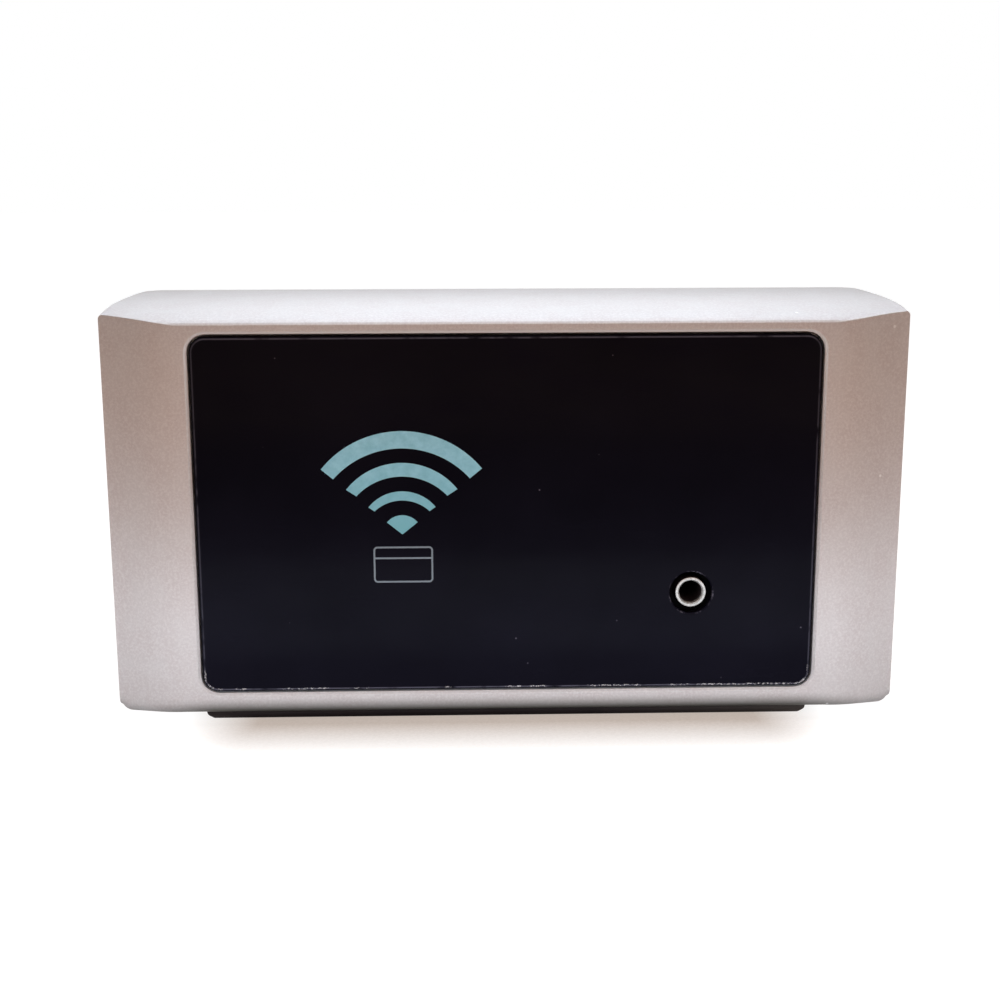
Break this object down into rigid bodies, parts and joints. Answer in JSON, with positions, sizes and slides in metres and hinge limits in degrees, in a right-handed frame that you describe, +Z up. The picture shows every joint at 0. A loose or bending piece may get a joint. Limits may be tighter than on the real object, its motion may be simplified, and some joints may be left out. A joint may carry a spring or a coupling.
{
  "type": "electronic cabinet lock",
  "caption": "Surface mounted electronic cabinet lock: swept metal housing, dark card reader panel with supply jack, motor driven bolt and battery tray.",
  "frame": {"origin": "middle of the flat rear face of the back plate, which lies on the door", "axes": "+Z up, front panel faces -Y, +X to the right seen from the front, towards the side that the bolt leaves"},
  "size_m": [0.12, 0.03, 0.0642],
  "materials": {
    "housing_metal": "satin metallic",
    "black_panel": "gloss",
    "seal_foam": "matt",
    "bright_steel": "polished",
    "plated_steel": "zinc plated",
    "dark_plastic": "fine texture",
    "frame_plastic": "moulded",
    "green_board": "solder mask",
    "copper": "etched copper",
    "nickel": "nickel plated",
    "brass": "turned",
    "chip_plastic": "moulded",
    "white_plastic": "moulded",
    "led_lens": "clear",
    "cell_jacket": "printed film",
    "gear_plastic": "moulded",
    "red_lead": "sleeved",
    "black_lead": "sleeved"
  },
  "bodies": {
    "housing": {"antenna_board": "green_board", "antenna_coil": "copper", "back_plate": "plated_steel", "back_plate_screw_1": "bright_steel", "back_plate_screw_2": "bright_steel", "back_plate_screw_3": "bright_steel", "back_plate_screw_4": "bright_steel", "battery_connector": "white_plastic", "battery_lead_1": "black_lead", "battery_lead_2": "red_lead", "bay_contact_1": "nickel", "bay_contact_2": "nickel", "board_link": "dark_plastic", "bolt_guide": "frame_plastic", "bolt_switch_in": "dark_plastic", "bolt_switch_out": "dark_plastic", "buzzer": "dark_plastic", "capacitor": "plated_steel", "front_housing": "housing_metal", "front_panel": "black_panel", "gear_axle": "bright_steel", "inner_frame": "frame_plastic", "jack_barrel": "bright_steel", "jack_body": "dark_plastic", "main_board": "green_board", "microcontroller": "chip_plastic", "motor": "plated_steel", "motor_bracket": "plated_steel", "motor_connector": "white_plastic", "motor_lead_1": "red_lead", "motor_lead_2": "black_lead", "mounting_insert_1": "brass", "mounting_insert_2": "brass", "panel_adhesive": "seal_foam", "reader_chip": "chip_plastic", "setup_switch": "dark_plastic", "standoff_1": "brass", "standoff_2": "brass", "standoff_3": "brass", "standoff_4": "brass", "status_led": "led_lens"},
    "bolt": {"deadbolt": "bright_steel"},
    "gear": {"reduction_gear": "gear_plastic"},
    "pinion": {"motor_pinion": "brass"},
    "tray": {"battery_tray": "dark_plastic", "cell_1": "cell_jacket", "cell_2": "cell_jacket", "cell_3": "cell_jacket", "cell_4": "cell_jacket", "tray_contact_left": "nickel", "tray_contact_right_1": "nickel", "tray_contact_right_2": "nickel"},
    "button": {"setup_button": "white_plastic"}
  },
  "joints": [
    {"name": "bolt_slide", "type": "slide", "parent": "housing", "child": "bolt", "axis": [1, 0, 0], "range_m": [0, 0.011]},
    {"name": "gear_turn", "type": "hinge", "parent": "housing", "child": "gear", "pos_m": [0.014, -0.005, -0.001], "axis": [0, 1, 0], "range_deg": [0, 132]},
    {"name": "pinion_turn", "type": "hinge", "parent": "housing", "child": "pinion", "pos_m": [0.00376, -0.005, -0.00817], "axis": [0, 1, 0], "range_deg": [-526, 0]},
    {"name": "tray_slide", "type": "slide", "parent": "housing", "child": "tray", "axis": [0, 0, -1], "range_m": [0, 0.016]},
    {"name": "button_press", "type": "slide", "parent": "housing", "child": "button", "axis": [0, -1, 0], "range_m": [0, 0.0008], "stiffness_N_per_m": 600, "springref_m": -0.0005}
  ],
  "couplings": [
    {"joint": "gear_turn", "follows": "bolt_slide", "rad_per_m": 208.33},
    {"joint": "pinion_turn", "follows": "bolt_slide", "rad_per_m": -833.33}
  ]
}
